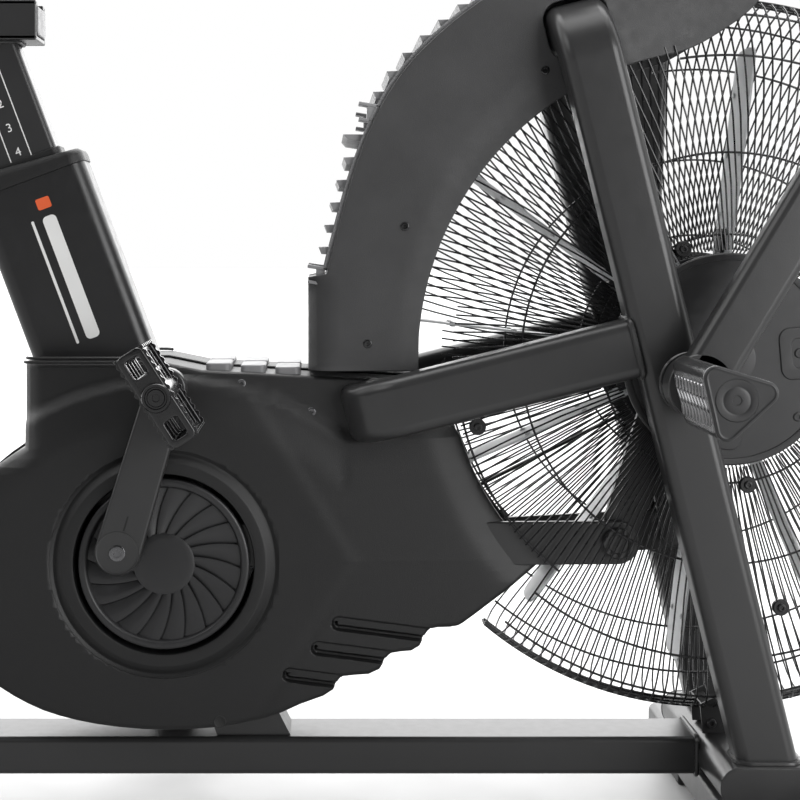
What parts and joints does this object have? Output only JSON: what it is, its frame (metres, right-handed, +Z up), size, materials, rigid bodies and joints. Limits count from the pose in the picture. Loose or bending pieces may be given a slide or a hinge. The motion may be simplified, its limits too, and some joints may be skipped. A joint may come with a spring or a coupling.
{
  "type": "air bike",
  "caption": "Upright fan-loaded exercise bike with caged fan, swinging push-pull levers linked to the cranks, foot pegs and an adjustable saddle.",
  "frame": {"origin": "on the floor, under the centre of the bike's bounding box", "axes": "+X towards the front of the bike (fan), +Y towards the rider's left, +Z up"},
  "size_m": [1.36, 0.676, 1.3255],
  "materials": {
    "frame_steel": "satin black powder coat",
    "shell_plastic": "fine moulded grain, charcoal",
    "disc_plastic": "satin moulded",
    "pedal_plastic": "satin moulded",
    "bright_steel": "bright",
    "pulley_alloy": "machined",
    "fan_blade": "dark coated sheet",
    "cage_wire": "semi-gloss black coat",
    "belt_rubber": "matt",
    "grip_foam": "matt foam",
    "saddle_cover": "grained vinyl",
    "knob_rubber": "matt",
    "console_plastic": "satin moulded",
    "peg_alloy": "glossy dark coat, ridged"
  },
  "bodies": {
    "frame": {"base_tube": "frame_steel", "rear_stabilizer": "frame_steel", "front_stabilizer": "frame_steel", "front_cross_member": "frame_steel", "main_frame": "frame_steel", "crank_bearing_right": "bright_steel", "crank_bearing_left": "bright_steel", "console_mast": "frame_steel", "seat_tube": "frame_steel", "seat_tube_collar": "shell_plastic", "shroud_right": "shell_plastic", "shroud_left": "shell_plastic", "shroud_louvre_rim": "shell_plastic", "fan_axle": "bright_steel", "upright_right": "frame_steel", "upright_left": "frame_steel", "yoke_arm_right": "frame_steel", "yoke_arm_left": "frame_steel", "rear_cover_right": "shell_plastic", "rear_cover_left": "shell_plastic", "cage_right": "cage_wire", "cage_left": "cage_wire", "hub_cover_right": "shell_plastic", "hub_cover_left": "shell_plastic", "foot_peg_right": "peg_alloy", "foot_peg_left": "peg_alloy", "drive_belt": "belt_rubber"},
    "crank": {"crank_spindle": "bright_steel", "crank_pulley": "pulley_alloy", "inner_crank_right": "frame_steel", "crank_disc_right": "disc_plastic", "crank_arm_right": "frame_steel", "pedal_spindle_right": "bright_steel", "inner_crank_left": "frame_steel", "crank_disc_left": "disc_plastic", "crank_arm_left": "frame_steel", "pedal_spindle_left": "bright_steel"},
    "fan": {"fan_wheel": "fan_blade", "fan_pulley": "pulley_alloy"},
    "pedal_right": {"pedal_right": "pedal_plastic"},
    "pedal_left": {"pedal_left": "pedal_plastic"},
    "lever_right": {"lever_right": "frame_steel", "grip_right": "grip_foam", "lower_arm_right": "frame_steel"},
    "lever_left": {"lever_left": "frame_steel", "grip_left": "grip_foam", "lower_arm_left": "frame_steel"},
    "link_right": {"link_bar_right": "frame_steel"},
    "link_left": {"link_bar_left": "frame_steel"},
    "seat_post": {"seat_post": "frame_steel"},
    "seat_slider": {"seat_slider": "frame_steel", "saddle": "saddle_cover"},
    "post_pull_pin": {"post_pull_pin": "knob_rubber"},
    "slider_clamp_knob": {"slider_clamp_knob": "knob_rubber"},
    "console": {"console": "console_plastic"},
    "transport_wheel_right": {"transport_wheel_right": "knob_rubber"},
    "transport_wheel_left": {"transport_wheel_left": "knob_rubber"},
    "levelling_foot_right": {"levelling_foot_right": "knob_rubber"},
    "levelling_foot_left": {"levelling_foot_left": "knob_rubber"}
  },
  "joints": [
    {"name": "crank_spin", "type": "hinge", "parent": "frame", "child": "crank", "pos_m": [-0.281, 0, 0.293], "axis": [0, 1, 0], "continuous": true},
    {"name": "fan_spin", "type": "hinge", "parent": "frame", "child": "fan", "pos_m": [0.298, 0, 0.504], "axis": [0, 1, 0], "continuous": true},
    {"name": "pedal_right_spin", "type": "hinge", "parent": "crank", "child": "pedal_right", "pos_m": [-0.276, 0, 0.476], "axis": [0, 1, 0], "continuous": true},
    {"name": "pedal_left_spin", "type": "hinge", "parent": "crank", "child": "pedal_left", "pos_m": [-0.286, 0, 0.11], "axis": [0, 1, 0], "continuous": true},
    {"name": "lever_right_swing", "type": "hinge", "parent": "frame", "child": "lever_right", "pos_m": [0.247, 0, 0.484], "axis": [0, 1, 0], "range_deg": [-29.64, 1.07]},
    {"name": "lever_left_swing", "type": "hinge", "parent": "frame", "child": "lever_left", "pos_m": [0.247, 0, 0.484], "axis": [0, 1, 0], "range_deg": [-1.07, 29.64]},
    {"name": "link_right_turn", "type": "hinge", "parent": "lever_right", "child": "link_right", "pos_m": [0.1876, 0, 0.3125], "axis": [0, 1, 0], "range_deg": [-1.47, 27.31]},
    {"name": "link_left_turn", "type": "hinge", "parent": "lever_left", "child": "link_left", "pos_m": [0.27685, 0, 0.30498], "axis": [0, 1, 0], "range_deg": [-27.31, 1.47]},
    {"name": "seat_post_height", "type": "slide", "parent": "frame", "child": "seat_post", "axis": [-0.3502, 0, 0.9367], "range_m": [-0.1, 0.15]},
    {"name": "seat_fore_aft", "type": "slide", "parent": "seat_post", "child": "seat_slider", "axis": [1, 0, 0], "range_m": [-0.03, 0.04]},
    {"name": "post_pin_pull", "type": "slide", "parent": "frame", "child": "post_pull_pin", "axis": [-0.9367, 0, -0.3502], "range_m": [0, 0.012], "stiffness_N_per_m": 500, "springref_m": -0.008},
    {"name": "slider_clamp_turn", "type": "hinge", "parent": "seat_post", "child": "slider_clamp_knob", "pos_m": [-0.48439, 0.045, 0.858], "axis": [0, 1, 0], "range_deg": [0, 360]},
    {"name": "console_tilt", "type": "hinge", "parent": "frame", "child": "console", "pos_m": [0.07293, 0, 1.14647], "axis": [0, 1, 0], "range_deg": [-20, 20]},
    {"name": "transport_wheel_right_spin", "type": "hinge", "parent": "frame", "child": "transport_wheel_right", "pos_m": [0.382, -0.218, 0.034], "axis": [0, 1, 0], "continuous": true},
    {"name": "transport_wheel_left_spin", "type": "hinge", "parent": "frame", "child": "transport_wheel_left", "pos_m": [0.382, 0.218, 0.034], "axis": [0, 1, 0], "continuous": true},
    {"name": "levelling_foot_right_turn", "type": "hinge", "parent": "frame", "child": "levelling_foot_right", "pos_m": [-0.647, -0.22, 0.01], "axis": [0, 0, 1], "continuous": true},
    {"name": "levelling_foot_left_turn", "type": "hinge", "parent": "frame", "child": "levelling_foot_left", "pos_m": [-0.647, 0.22, 0.01], "axis": [0, 0, 1], "continuous": true}
  ],
  "couplings": [
    {"joint": "fan_spin", "follows": "crank_spin", "ratio": 4.1818},
    {"joint": "lever_left_swing", "follows": "lever_right_swing", "ratio": -1},
    {"joint": "link_right_turn", "follows": "lever_right_swing", "ratio": -0.9044},
    {"joint": "link_left_turn", "follows": "lever_right_swing", "ratio": 0.9044}
  ]
}
